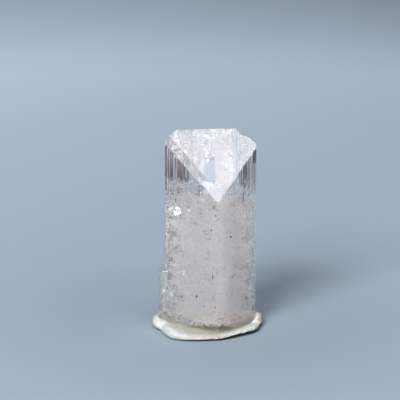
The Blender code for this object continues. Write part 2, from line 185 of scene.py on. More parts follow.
crystal = dict(
    frontEdge=(1.21, -10.42),     # plan position of the sharp front edge
    halfAngle=42.6,               # degrees from straight back to a front face
    leftWidth=14.96,
    rightWidth=13.34,
    bevels={"front": 0.16, "side": 0.42, "back": 1.48},
    backStep=1.5,                 # the right back face stands out by this much beyond the step
    backStepPlace=7.2,            # from the right edge
    tipHeight=28.36,
    domeSlope=0.95,
    ridgeDepth=13.1,
    ridgeFlat=0.5,
    ridgeFall=0.06,               # the flat is this much lower at its back
    stepStarts=(11.9, 12.3, 12.75),
    stepDepth=0.05,
    storeys=(26.9, 25.0, 23.4, 21.2, 19.6, 18.2, 16.4, 14.9, 13.3, 11.4, 9.4, 7.4, 5.6, 3.9),
    ledgeReach=0.2,
    ledgeTop=27.4,                # no ledges above this height
    ledgeFade=0.6,                # they grow to full depth over this much below it
    trim=0.03,                    # the fine surface lies this far inside the plain solid
    backLedges=(28.6, 29.6),      # the back edge is blunt below the first height and sharp above the second
    backLedgeDepth=0.08,
    backPlain=23.6,               # between this height and the first ledge the blunt back edge is smooth
    calmShare=0.12,               # of the rib depth that is left above the second ledge
    calmReach=2.6,                # no ribs at all this close to the sharp back edge
    calmWidth=9.0,                # how far the calm part reaches along the left back face
    cloudyCalm=0.8,               # of the rib depth is lost on the front left face beside the cloudy part
    sill=3.3,                     # the upright faces start here, above the broken foot
    fineTop=27.7,                 # the fine levels end here
    plainHeights=(27.9, 42.0),    # the prism above them, before its roof is cut
    columnSpacing=0.17,
    levelSpacing=0.17,
    footHeight=0.62,
    chipHeight=1.75,
    chipWidth=6.3,
    heelPlace=(4.6, 5.2),
    heelDrop=0.5,
    heelWidth=3.2,
    leftHollow=((-7.5, 8.5), 0.6, 3.0),    # plan place from the front edge, height and width
    flankReach=1.4,
    flankTop=19.0,
    flankFull=10.6,
    flankStrips={"front left": 0.55, "left back": 5.0},    # how far each face swells from the left edge
    shoulderPlace=(-8.0, 12.5, -0.62),     # from the front edge and the ridge
    shoulderNormal=(-0.62, 0.15, 0.77),
    notches=(                     # chips in the ridge: place from the front edge and the ridge, size
        ((-4.15, 14.2, 0.45), (0.8, 4.0, 0.85)),
    ),
    wedge=(                       # lost from the right end of the ridge: across from the front edge, height
        (4.4, 41.05), (5.64, 39.8), (9.5, 38.37), (9.5, 42.0), (4.4, 42.0),
    ),
    sliverTop=((0.44, 37.0), (0.5, 37.6), (1.1, 37.8), (2.1, 38.3), (3.3, 38.9), (4.3, 39.3), (5.1, 39.7)),
    sliverThickness=0.42,
    sliverInset=0.105,            # inside the right back face
    sliverFoot=34.0,
    bandWidth=1.55,               # a slightly turned facet along the left edge of the front dome
    bandTurn=7.0,
    bandEnd=5.9,                  # it ends this far above the tip
    ior=1.63,
    frost=0.26,
    frostHeights=(27.0, 28.4),    # frosted below, clear above
    footFrost=1.0,
    footHeights=(1.4, 3.4),       # the broken foot is duller still
    mottleScale=900.0,
    pitCount=32,
    absorbColour=(0.92, 0.88, 0.90, 1.0),
    absorbDensity=4.0,
)
# rib zones of each face: from, to, rib width, slope of its long side, where it peaks, flat between ribs
ribs = {
    "front right": ((0.0, 9.4, 0.50, 0.09, (0.2, 0.8), 0.0), (9.4, 20.0, 0.36, 0.34, (0.25, 0.75), 0.5)),
    "right back": ((0.0, 7.2, 0.52, 0.37, (0.08, 0.16), 0.5), (7.2, 20.0, 0.62, 0.2, (0.84, 0.92), 0.0)),
    "left back": ((0.0, 9.5, 2.6, 0.006, (0.3, 0.7), 0.0), (9.5, 20.0, 0.45, 0.3, (0.72, 0.85), 1.4)),
    "front left": ((0.0, 5.4, 0.36, 0.34, (0.25, 0.75), 0.45), (5.4, 20.0, 0.62, 0.07, (0.2, 0.8), 0.0)),
}
faceSeeds = {"front right": 0.0, "right back": 9.0, "left back": 18.0, "front left": 27.0}


def frontDirections():
    # plan directions of the two front faces, away from the front edge
    turn = math.radians(crystal["halfAngle"])
    return Vector((math.sin(turn), math.cos(turn))), Vector((-math.sin(turn), math.cos(turn)))


def crystalCorners():
    toRight, toLeft = frontDirections()
    front = Vector(crystal["frontEdge"])
    right = front + toRight * crystal["rightWidth"]
    left = front + toLeft * crystal["leftWidth"]
    spare = crystal["backStep"] / math.sin(2 * math.radians(crystal["halfAngle"]))
    back = left + toRight * (crystal["rightWidth"] + spare)
    return front, right, back, left


def crystalFaces():
    # name, first corner, direction, outward normal and width, anticlockwise from the front
    front, right, back, left = crystalCorners()
    toRight, toLeft = frontDirections()
    for name, start, end, along in (
        ("front right", front, right, toRight), ("right back", right, back, toLeft),
        ("left back", back, left, -toRight), ("front left", left, front, -toLeft),
    ):
        yield name, start, along, Vector((along.y, -along.x)), (end - start).dot(along)


def ribProfile(name, width):
    # distances along a face and how deep its surface lies there, as uneven saw teeth
    dice = random.Random("fine ribs " + name)
    stops, depths = [0.0], [0.0]
    here = 0.0
    for first, last, ribWidth, slope, peaks, flat in ribs[name]:
        while here < min(last, width):
            step = ribWidth * dice.uniform(0.45, 1.6)
            peak = dice.uniform(*peaks)
            depth = slope * dice.uniform(0.75, 1.1) * step * max(peak, 1.0 - peak)
            gap = flat * dice.uniform(0.2, 1.4)
            stops += [here + step * peak, here + step, here + step + gap]
            depths += [depth, 0.0, 0.0]
            here += step + gap
    return np.array(stops), np.array(depths)


def crystalColumns():
    # every upright line of the fine mesh: face, plan point, normal, distance, rib depth
    bevels = [crystal["bevels"][corner] for corner in ("front", "side", "back", "side", "front")]
    step, apart = crystal["backStepPlace"], 0.08
    columns = []
    for (name, start, along, normal, width), first, last in zip(crystalFaces(), bevels, bevels[1:]):
        stops, depths = ribProfile(name, width)
        spots = set(np.round(stops[(stops > first + apart) & (stops < width - last - apart)], 4))
        fill = np.arange(first, width - last, crystal["columnSpacing"])
        spots |= {float(s) for s in fill if min(abs(s - t) for t in spots) > apart}
        spots |= {first, width - last}
        if name == "right back":
            spots = {s for s in spots if abs(s - step) > 0.1} | {step - 0.02, step + 0.02}
        for distance in sorted(spots):
            depth = float(np.interp(distance, stops, depths))
            columns.append((name, start + along * distance, normal, distance, depth))
    return columns


def pitField(name, width):
    # distance, height, radius, stretch and depth of each etch pit
    dice = random.Random("pits " + name)
    return [
        (dice.uniform(0.3, width - 0.3), 2.0 + 25.0 * dice.random(), dice.uniform(0.25, 0.8),
         dice.uniform(0.3, 1.0), dice.uniform(0.03, 0.13))
        for _ in range(crystal["pitCount"])
    ]


def reliefAt(name, distance, ribDepth, height):
    # how far the surface stands out from the plain face
    seed = faceSeeds[name]
    cloudy = min(1.0, max(0.0, (crystal["ledgeTop"] - height) / crystal["ledgeFade"]))
    beyondStep = name == "right back" and distance > crystal["backStepPlace"]
    besideBack = beyondStep or name == "left back" and distance < crystal["calmWidth"]
    calm = besideBack and height > crystal["backLedges"][0]
    if calm:
        ribDepth *= crystal["calmShare"] if backDistance(name, distance) > crystal["calmReach"] else 0.0
    if name == "front left":
        ribDepth *= 1.0 - crystal["cloudyCalm"] * cloudy
    out = -crystal["trim"] - ribDepth
    if beyondStep:
        out += crystal["backStep"]
    if calm:
        out -= crystal["backLedgeDepth"]
    if besideBack and height > crystal["backPlain"]:
        # the blunt back edge stays plain up here
        cloudy *= min(1.0, max(0.0, backDistance(name, distance) / 2.0 - 0.9))
    if cloudy == 0.0:
        return out
    edge = height + 0.3 * wave(distance * 0.45 + seed, 3.3, height * 0.2)
    storey = sum(edge < top for top in crystal["storeys"])
    ledge = crystal["ledgeReach"] * (0.5 + wave(distance * 0.28 + seed, storey * 2.3, 1.1))
    fine = 0.05 * wave(distance * 0.25 + seed, height * 1.6, 8.0)
    fine += 0.012 * wave(distance * 0.7 + seed, height * 4.0, 2.0)
    return out - cloudy * ledge + cloudy * fine


def backDistance(name, distance):
    # how far a place on one of the two back faces is from the back edge
    if name == "left back":
        return distance
    widths = {face: width for face, _, _, _, width in crystalFaces()}
    return widths["right back"] - distance


def flankOffset(height):
    top, full = crystal["flankTop"], crystal["flankFull"]
    if height >= top:
        return 0.0
    steps = 7
    share = min(1.0, (top - height) / (top - full)) * steps
    share = (math.floor(share) + min(1.0, 2.5 * (share % 1.0))) / steps
    ragged = 0.10 * wave(height * 2.6, 5.0) * min(1.0, 3.0 * share)
    return crystal["flankReach"] * min(1.0, share) ** 1.6 + ragged


def footHeight(point):
    # the broken foot, hollow under the front edge and a little under the left face
    place = Vector((point[0] - crystal["frontEdge"][0], point[1] - crystal["frontEdge"][1]))
    away = (place - Vector(crystal["heelPlace"])).length / crystal["heelWidth"]
    hollow = place.length / crystal["chipWidth"]
    rise = crystal["chipHeight"] * math.exp(-hollow * hollow)
    spot, height, width = crystal["leftHollow"]
    beside = (place - Vector(spot)).length / width
    rise += height * math.exp(-beside * beside)
    return crystal["footHeight"] + rise - crystal["heelDrop"] * math.exp(-away * away)


def crystalRing(columns, height, pits=None):
    _, _, back, left = crystalCorners()
    swell = flankOffset(height)
    sharpen = (1.0, 0.25, 0.04)[sum(height > ledge for ledge in crystal["backLedges"])]
    bevel = crystal["bevels"]["back"]
    # where the two faces meet once they stand in from the plain outline
    inset = crystal["trim"] + crystal["backLedgeDepth"]
    back = back - Vector((0.0, inset / math.sin(math.radians(crystal["halfAngle"]))))
    ring = []
    for index, (name, point, normal, distance, ribDepth) in enumerate(columns):
        out = reliefAt(name, distance, ribDepth, height)
        if pits is not None:
            out -= pits[index]
        spot = point + normal * out
        if sharpen < 1.0 and name in ("right back", "left back"):
            # the faces run on towards the sharp back edge
            near = (spot - back).length
            if near < bevel * 1.6:
                spot = back + (spot - back) * (sharpen + (1.0 - sharpen) * max(0.0, near / bevel - 1.0) / 0.6)
        if name in crystal["flankStrips"]:
            reach = crystal["flankStrips"][name] + crystal["bevels"]["side"]
            share = 1.0 - (point - left).length / reach
            spot.x -= swell * max(0.0, share) ** 0.8
        ring.append(Vector((spot.x, spot.y, height)))
    return ring


def pitDepths(columns, heights):
    # how deep the etch pits reach at every point of the mesh
    depths = np.zeros((len(heights), len(columns)))
    heights = np.array(heights)[:, None]
    for name, _, _, _, width in crystalFaces():
        own = np.array([index for index, column in enumerate(columns) if column[0] == name])
        along = np.array([columns[index][3] for index in own])[None, :]
        for centre, height, radius, stretch, depth in pitField(name, width):
            if "back" in name and height > crystal["backPlain"] - 2.0:
                continue
            away = abs(along - centre) / (radius * stretch) + abs(heights - height) / radius
            depths[:, own] = np.maximum(depths[:, own], depth * np.clip(1.2 - away, 0.0, 0.5) / 0.5)
    return depths


def crystalRings(columns):
    front, _, back, _ = crystalCorners()
    middle = (front + back) / 2
    sill, fineTop = crystal["sill"], crystal["fineTop"]
    top = crystalRing(columns, sill)
    rim = [spot.copy() for spot in top]
    for spot in rim:
        rough = max(0.0, 0.16 * wave(spot.x * 0.9, spot.y * 0.9, 7.0)) + 0.05 * wave(spot.x * 3, spot.y * 3)
        spot.z = footHeight(spot) + rough
    rings = []
    for share in (0.1, 0.3, 0.5, 0.65, 0.8, 0.92):
        ring = []
        for spot in rim:
            plan = middle + (spot.xy - middle) * share
            rough = 0.14 * wave(plan.x * 0.8, plan.y * 0.8, 3.0)
            ring.append(Vector((plan.x, plan.y, footHeight(plan) + abs(rough))))
        rings.append(ring)
    rings.append(rim)
    for share in (0.25, 0.5, 0.75):
        rings.append([low.lerp(high, share) for low, high in zip(rim, top)])
    heights = list(np.arange(sill, fineTop, crystal["levelSpacing"]))
    depths = pitDepths(columns, heights)
    rings += [crystalRing(columns, float(height), pits) for height, pits in zip(heights, depths)]
    first, last = crystal["plainHeights"]
    ledges = [ledge + side for ledge in crystal["backLedges"] for side in (-0.05, 0.05)]
    return rings + [crystalRing(columns, height) for height in (first, *ledges, last)]


def roofOutline():
    # depth from the front edge and height
    low, start, run = -1.0, -5.0, 14.0
    slope, step = crystal["domeSlope"], crystal["stepDepth"]

    def dome(depth):
        return crystal["tipHeight"] + slope * depth

    outline = [(start, low), (start, dome(start))]
    drop = 0.0
    for place in crystal["stepStarts"]:
        outline.append((place, dome(place) - drop))
        drop += step
        outline.append((place + 0.04, dome(place) - drop + step * 0.2))
    depth = crystal["ridgeDepth"]
    behind = depth + crystal["ridgeFlat"]
    top = dome(depth) - drop
    rear = top - crystal["ridgeFall"]
    return outline + [(depth, top), (behind, rear), (behind + run, rear - slope * run), (behind + run, low)]


def sliverPlate():
    # the raised sliver along the right shoulder, just inside the right back face
    _, right, back, _ = crystalCorners()
    along = (back - right).normalized()
    top, thick, foot = crystal["sliverTop"], crystal["sliverThickness"], crystal["sliverFoot"]
    outline = [(top[0][0], foot), *top, (top[-1][0], foot)]
    start = right + Vector((-along.y, along.x)) * (thick / 2 + crystal["sliverInset"])
    place = Matrix((
        (along.x, 0.0, along.y, start.x),
        (along.y, 0.0, -along.x, start.y),
        (0.0, 1.0, 0.0, 0.0),
        (0.0, 0.0, 0.0, 1.0),
    ))
    return bar("sliver", outline[::-1], place, thick)


def leftBandCutter():
    # a slab whose lower side is the turned facet; it starts at a line beside the left edge of the dome
    turn = math.radians(crystal["halfAngle"])
    tilt = math.atan(crystal["domeSlope"])
    domeNormal = Vector((0.0, -math.sin(tilt), math.cos(tilt)))
    leftNormal = Vector((-math.cos(turn), -math.sin(turn), 0.0))
    along = domeNormal.cross(leftNormal).normalized()
    across = along.cross(domeNormal)
    if across.dot(leftNormal) < 0:
        across = -across
    inner = crystal["bandWidth"] / math.sqrt(1.0 - domeNormal.dot(leftNormal) ** 2)
    edge = Vector((*crystal["frontEdge"], crystal["tipHeight"]))
    bend = math.radians(crystal["bandTurn"])
    facetNormal = domeNormal * math.cos(bend) + across * math.sin(bend)
    facetAcross = across * math.cos(bend) - domeNormal * math.sin(bend)
    start = edge - across * inner
    length, width, thick = 60.0, 12.0, 6.0
    bm = bmesh.new()
    bmesh.ops.create_cube(bm, size=1.0)
    for vertex in bm.verts:
        x, y, z = vertex.co
        run = -crystal["bandEnd"] + (x - 0.5) * length
        spot = start + along * run + facetAcross * ((y + 0.5) * width)
        vertex.co = spot + facetNormal * ((z + 0.5) * thick)
    bm.normal_update()
    bmesh.ops.recalc_face_normals(bm, faces=bm.faces[:])
    return linkMesh("leftBand", bm)


def roughBall(name, place, size):
    # leaves a shell-shaped chip
    dice = random.Random(name)
    bm = bmesh.new()
    bmesh.ops.create_icosphere(bm, subdivisions=3, radius=1.0)
    for vertex in bm.verts:
        vertex.co *= 1.0 + 0.05 * math.sin(9.0 * vertex.co.x) + dice.uniform(-0.015, 0.015)
        vertex.co = vertex.co * Vector(size) + Vector(place)
    return linkMesh(name, bm)


def cornerBlock(name, place, normal):
    # its lower side is the plane through the place, square to the normal
    bm = bmesh.new()
    bmesh.ops.create_cube(bm, size=12.0)
    turn = Vector(normal).to_track_quat("Z", "Y").to_matrix().to_4x4()
    centre = Vector(place) + Vector(normal).normalized() * 6.0
    bmesh.ops.transform(bm, matrix=Matrix.Translation(centre) @ turn, verts=bm.verts[:])
    return linkMesh(name, bm)


def makeCrystal():
    columns = crystalColumns()
    made = loft("danburiteCrystal", crystalRings(columns))
    edgeX, edgeY = crystal["frontEdge"]
    ridge = Vector((edgeX, edgeY, crystal["tipHeight"] + crystal["domeSlope"] * crystal["ridgeDepth"]))
    upright = Matrix.Rotation(math.pi / 2, 4, "X")
    sideways = Matrix.Translation((0, edgeY, 0)) @ Matrix.Rotation(math.pi / 2, 4, "Z") @ upright
    carve(made, bar("roof", roofOutline(), sideways, 40.0), "INTERSECT")
    carve(made, leftBandCutter(), "DIFFERENCE")
    outline = [(across + edgeX, up) for across, up in crystal["wedge"]]
    carve(made, bar("wedge", outline, upright, 60.0), "DIFFERENCE")
    carve(made, sliverPlate(), "UNION")
    shoulder = ridge + Vector(crystal["shoulderPlace"])
    carve(made, cornerBlock("shoulder", shoulder, crystal["shoulderNormal"]), "DIFFERENCE")
    for place, size in crystal["notches"]:
        carve(made, roughBall("notch", ridge + Vector(place), size), "DIFFERENCE")
    print("crystal:", len(made.data.polygons), "faces")
    return made


def crystalMaterial():
    material, tree, shader = newMaterial("clear danburite")
    place = objectPlace(tree)
    height = splitUp(tree, place)["Z"]
    low, high = crystal["frostHeights"]
    body = remap(tree, height, low * mm, high * mm, crystal["frost"], 0.0)
    low, high = crystal["footHeights"]
    foot = remap(tree, height, low * mm, high * mm, crystal["footFrost"], 0.0)
    frosted = mathNode(tree, "MAXIMUM", body, foot)
    mottled = mathNode(tree, "MULTIPLY", frosted, noiseAt(tree, place, crystal["mottleScale"]))
    setInputs(tree, shader, {
        "Base Color": (1.0, 1.0, 1.0, 1.0), "Transmission Weight": 1.0, "IOR": crystal["ior"],
        "Roughness": mottled,
    })
    inputs = {"Color": crystal["absorbColour"], "Density": crystal["absorbDensity"]}
    absorb = addNode(tree, "VolumeAbsorption", inputs)
    setInputs(tree, tree.nodes["Material Output"], {"Volume": absorb.outputs["Volume"]})
    return material


# veils, flakes and grains inside the crystal

veils = dict(
    layers=(                      # seed, most splinters, random places tried for them, their size, margin
        (1, 45000, 190000, (0.15, 0.36), 0.4), (2, 45000, 190000, (0.15, 0.36), 0.4),
        (3, 22000, 60000, (0.4, 0.9), 2.2),
    ),
    hazeShare=0.36,               # how many of those are kept where the cloud is neither thick nor thin
    hazeTop=31.5,                 # top of the cloudy part behind the two front faces
    hazeFall=0.72,                # how fast that top falls further behind them
    clearEdge=9.6,                # the top also falls beyond this distance along the front right face
    clearDrop=2.4,
    footHaze=0.4,                 # how much thicker the cloud gets just above the foot
    hazeSwing=2.2,                # how much thicker and thinner it gets
    heights=(1.6, 33.0),          # nothing lies lower or higher
    footMargin=0.65,              # at least this far above the broken foot
    finish=dict(                  # bluish, pale and brownish patches
        scale=210.0, detail=2.0, roughness=0.4,
        stops=((0.38, (0.87, 0.895, 0.92, 1.0)), (0.44, (0.995, 0.985, 0.978, 1.0)),
               (0.56, (0.995, 0.985, 0.978, 1.0)), (0.63, (0.975, 0.89, 0.825, 1.0))),
    ),
)
# thinner places in the cloud: face, along it, height, depth, reach, share that is left
windows = (
    ("front left", 12.5, 19.5, 1.0, (1.7, 0.9), 0.1),
    ("front left", 14.0, 7.0, 0.8, (1.1, 1.6), 0.1),
    ("front left", 3.5, 20.7, 1.8, (3.6, 1.1), 0.35),
    ("front right", 2.0, 20.7, 1.8, (2.2, 1.1), 0.4),
    ("front right", 10.6, 20.5, 0.9, (1.8, 1.9), 0.15),
    ("front right", 10.2, 6.6, 0.8, (1.0, 1.3), 0.2),
    ("front left", 12.3, 27.2, 0.8, (0.9, 2.2), 0.2),
)
# silvery cracks that flash, for each face: along it, height, width, rise
flashes = {
    "front left": (
        (11.4, 24.6, 1.7, 2.0), (7.7, 25.7, 1.4, 0.6), (13.2, 25.0, 0.8, 0.8), (10.2, 24.0, 0.5, 0.5),
        (9.9, 11.8, 0.8, 1.2), (10.6, 19.4, 1.9, 0.25), (14.5, 24.2, 0.4, 2.2), (5.0, 22.5, 0.6, 0.4),
    ),
    "front right": (
        (9.8, 12.1, 0.9, 1.0), (5.1, 11.8, 1.2, 0.6), (0.5, 7.7, 0.4, 1.0), (0.4, 24.9, 0.7, 0.3),
        (3.3, 29.0, 1.1, 1.2), (9.0, 29.3, 1.2, 0.3), (10.4, 23.6, 0.5, 2.2), (11.4, 23.2, 0.6, 2.4),
        (12.3, 23.8, 0.5, 2.0), (8.0, 14.2, 4.5, 0.12),
    ),
}
# dark grains: face, along it, height, width, rise
grains = (
    ("front left", 11.8, 27.0, 0.25, 1.3), ("front left", 10.5, 24.1, 0.5, 0.4),
    ("front left", 2.05, 22.4, 0.5, 0.4), ("front left", 0.8, 22.0, 0.25, 0.2),
    ("front right", 4.5, 20.4, 0.6, 0.5), ("front right", 9.2, 26.0, 0.5, 0.35),
    ("front right", 5.8, 12.1, 0.4, 0.35), ("front left", 1.6, 12.7, 0.32, 1.15),
    ("front left", 0.9, 6.4, 0.2, 0.8), ("front right", 9.8, 6.2, 0.55, 0.4),
    ("front left", 4.0, 6.1, 0.4, 0.3), ("front right", 10.6, 9.7, 0.12, 1.9),
    ("front left", 6.1, 7.7, 0.5, 0.7),
)
flakes = dict(
    count=1300,
    tries=14,                     # random places tried for each of them
    size=(0.4, 2.2),
    depth=(0.12, 4.5),
    thickness=0.03,
    ruffle=0.05,
    levelShare=0.5,               # of the flakes lie nearly level, as the growth layers do
    shards=15,                    # small flakes that make one flash
    flashDepth=0.3,               # a flash lies at least this far behind its face
    flashFinish=dict(
        scale=700.0, roughness=(0.36, 0.2), metallic=0.42,
        stops=((0.36, (0.92, 0.90, 0.88, 1.0)), (0.6, (0.99, 0.985, 0.98, 1.0))),
    ),
    finish=dict(
        scale=700.0, roughness=(0.38, 0.22), metallic=0.2,
        stops=((0.36, (0.86, 0.83, 0.82, 1.0)), (0.6, (0.99, 0.985, 0.98, 1.0))),
    ),
)
grainSet = dict(
    strays=24,
    size=(0.1, 0.3),
    depth=0.28,                   # behind its face
    margin=0.3,
    finish=dict(
        scale=2500.0, roughness=(0.7, 0.35),
        stops=((0.36, (0.012, 0.011, 0.014, 1.0)), (0.6, (0.06, 0.045, 0.04, 1.0))),
    ),
)


def behindFace(name, along, height, depth):
    # a place given along an upright face, in millimetres
    for face, start, direction, normal, width in crystalFaces():
        if face == name:
            run = width - along if name == "front left" else along
            spot = start + direction * run - normal * depth
            return Vector((spot.x, spot.y, height))


def hazeDensity(points):
    # none above the cloudy part's ragged top, patchy and layered below it
    front, _, _, _ = crystalCorners()
    turn = math.radians(crystal["halfAngle"])
    x, y, z = points.T
    dx, dy = x - front.x, y - front.y
    behindRight = dy * math.sin(turn) - dx * math.cos(turn)
    behindLeft = dx * math.cos(turn) + dy * math.sin(turn)
    behind = np.minimum(behindRight, behindLeft)
    top = veils["hazeTop"] - veils["hazeFall"] * np.maximum(0.0, behind - 1.5)
    top += [0.9 * wave(a * 0.4, b * 0.4, 3.0) + 0.6 * wave(a * 1.3, b * 1.3, 9.0) for a, b, _ in points]
    along = dx * math.sin(turn) + dy * math.cos(turn)
    clear = np.clip(along - veils["clearEdge"] + 1.5, 0.0, 1.6)
    top -= np.where(behindRight < behindLeft, veils["clearDrop"] * clear, 0.0)
    swing = np.array([
        0.8 * wave(a * 0.2, b * 0.2, c * 1.1) + 1.0 * wave(a * 0.35, b * 0.35, c * 0.45 + 20.0)
        + 0.7 * wave(a * 0.9, b * 0.9, c * 1.5 + 50.0)
        for a, b, c in points
    ])
    density = veils["hazeShare"] + veils["hazeSwing"] * swing
    for name, run, height, depth, reach, share in windows:
        place = behindFace(name, run, height, depth)
        away = np.hypot(np.hypot(x - place.x, y - place.y) / reach[0], (z - place.z) / reach[1])
        density *= share + (1.0 - share) * np.minimum(1.0, away ** 3)
    density = np.maximum(0.1, density) + veils["footHaze"] * np.clip((6.0 - z) / 3.0, 0.0, 1.0)
    return np.where(z > top, 0.0, density)


def insideCrystal(points, margin):
    inside = np.ones(len(points), bool)
    for _, start, _, normal, _ in crystalFaces():
        away = (points[:, 0] - start.x) * normal.x + (points[:, 1] - start.y) * normal.y
        inside &= away < -margin
    return inside


def splinterMesh(name, centres, sizes, dice):
    # one closed four-sided splinter at every centre
    count = len(centres)
    corners = np.array([(1, 0, -0.7), (-1, 0, -0.7), (0, 1, 0.7), (0, -1, 0.7)], float) * (1.0, 0.7, 0.35)
    turns, _ = np.linalg.qr(dice.normal(size=(count, 3, 3)))
    points = np.einsum("nij,kj->nki", turns, corners) * (sizes[:, None, None] / 2) + centres[:, None, :]
    volumes = np.linalg.det(points[:, 1:] - points[:, :1])
    faces = np.array([(0, 1, 2), (0, 3, 1), (0, 2, 3), (1, 3, 2)])
    solid = np.where(volumes[:, None, None] > 0, faces[None, :, ::-1], faces[None])
    solid = (solid + 4 * np.arange(count)[:, None, None]).reshape(-1, 3)
    mesh = bpy.data.meshes.new(name)
    mesh.from_pydata((points.reshape(-1, 3) * mm).tolist(), [], solid.tolist())
    return placeObject(name, mesh)


def spotsInside(dice, count, margin):
    # random places inside the crystal, at least a margin away from its outside
    front, right, back, left = crystalCorners()
    lowest, highest = veils["heights"]
    low = np.array((left.x, front.y, lowest))
    high = np.array((right.x, back.y, highest))
    centres = low + dice.random((count, 3)) * (high - low)
    centres = centres[insideCrystal(centres, margin)]
    roof = crystal["tipHeight"] + crystal["domeSlope"] * (centres[:, 1] - front.y)
    centres = centres[centres[:, 2] < roof - margin]
    foot = np.array([footHeight(spot) if spot[2] < 5.0 else 0.0 for spot in centres])
    return centres[centres[:, 2] > foot + min(margin, veils["footMargin"])]


def makeHaze(seed, most, tries, size, margin):
    dice = np.random.default_rng(seed)
    centres = spotsInside(dice, tries, margin)
    centres = centres[dice.random(len(centres)) < hazeDensity(centres)][:most]
    sizes = size[0] + (size[1] - size[0]) * dice.random(len(centres)) ** 2
    print("haze:", len(centres), "splinters")
    return splinterMesh("innerVeils%d" % seed, centres, sizes, dice)


def addFlake(bm, centre, facing, width, rise, ruffle, dice):
    # a thin ragged lens, wide across and high along its own upright
    facing = Vector(facing).normalized()
    across = Vector((0, 0, 1)).cross(facing)
    if across.length < 0.2:
        across = Vector((1, 0, 0)).cross(facing)
    across.normalize()
    upright = facing.cross(across)
    sides = 9
    rim = []
    for k in range(sides):
        turn = k / sides * math.tau
        reach = dice.uniform(0.6, 1.05)
        ahead, up = math.cos(turn) * width / 2 * reach, math.sin(turn) * rise / 2 * reach
        spot = centre + across * ahead + upright * up
        rim.append(bm.verts.new(spot + facing * dice.uniform(-ruffle, ruffle) * min(width, rise)))
    bulge = facing * flakes["thickness"] / 2
    near, far = bm.verts.new(centre + bulge), bm.verts.new(centre - bulge)
    for k in range(sides):
        bm.faces.new((rim[k], rim[(k + 1) % sides], near))
        bm.faces.new((rim[(k + 1) % sides], rim[k], far))


def makeFlashes():
    # small cracks side by side that mirror the light towards the front
    dice = random.Random("flakes")
    bm = bmesh.new()
    mirrors = {"front left": (-0.51, -0.82, 0.26), "front right": (0.29, -0.92, 0.26)}
    places = ((name, *place) for name in flashes for place in flashes[name])
    for name, along, height, width, rise in places:
        for _ in range(flakes["shards"]):
            ahead, up = (dice.uniform(-0.5, 0.5) * reach for reach in (width, rise))
            share = dice.uniform(0.14, 0.42)
            depth = flakes["flashDepth"] + 0.16 * share * min(width, 1.6)
            spot = behindFace(name, along + ahead, height + up, depth)
            facing = [axis + dice.uniform(-0.05, 0.05) for axis in mirrors[name]]
            addFlake(bm, spot, facing, share * width, share * rise * 1.2, 0.02, dice)
    return linkMesh("innerFlashes", bm)


def makeFlakes():
    # cracks at all angles, most of them close behind the faces
    dice = random.Random("more flakes")
    spread = np.random.default_rng(11)
    bm = bmesh.new()
    shallow, deep = flakes["depth"]
    centres = spotsInside(spread, flakes["count"] * flakes["tries"], shallow)
    centres = centres[~insideCrystal(centres, deep)]
    centres = centres[spread.random(len(centres)) < hazeDensity(centres)][: flakes["count"]]
    small, large = flakes["size"]
    for spot in centres:
        size = small + (large - small) * dice.random() ** 3
        room = min(-((spot[0] - start.x) * normal.x + (spot[1] - start.y) * normal.y)
                   for _, start, _, normal, _ in crystalFaces())
        size = min(size, 1.6 * room)
        facing = [dice.gauss(0, 1) for _ in range(3)]
        if dice.random() < flakes["levelShare"]:
            facing[2] = dice.choice((-3.0, 3.0))
        addFlake(bm, Vector(spot), facing, size, size * dice.uniform(0.4, 1.0), flakes["ruffle"], dice)
    print("flakes:", len(centres))
    return linkMesh("innerFlakes", bm)


def makeGrains():
    dice = random.Random("grains")
    spread = np.random.default_rng(12)
    bm = bmesh.new()

    def addGrain(spot, width, rise):
        grain = bmesh.ops.create_icosphere(bm, subdivisions=1, radius=0.5)["verts"]
        for vertex in grain:
            ragged = vertex.co * dice.uniform(0.75, 1.15)
            vertex.co = spot + Vector((ragged.x * width, ragged.y * width * 0.6, ragged.z * rise))

    for name, along, height, width, rise in grains:
        addGrain(behindFace(name, along, height, grainSet["depth"]), width, rise)
    small, large = grainSet["size"]
    for spot in spotsInside(spread, grainSet["strays"] * 6, grainSet["margin"])[: grainSet["strays"]]:
        size = dice.uniform(small, large)
        addGrain(Vector(spot), size, size * dice.uniform(0.6, 1.6))
    return linkMesh("innerGrains", bm)


# the putty

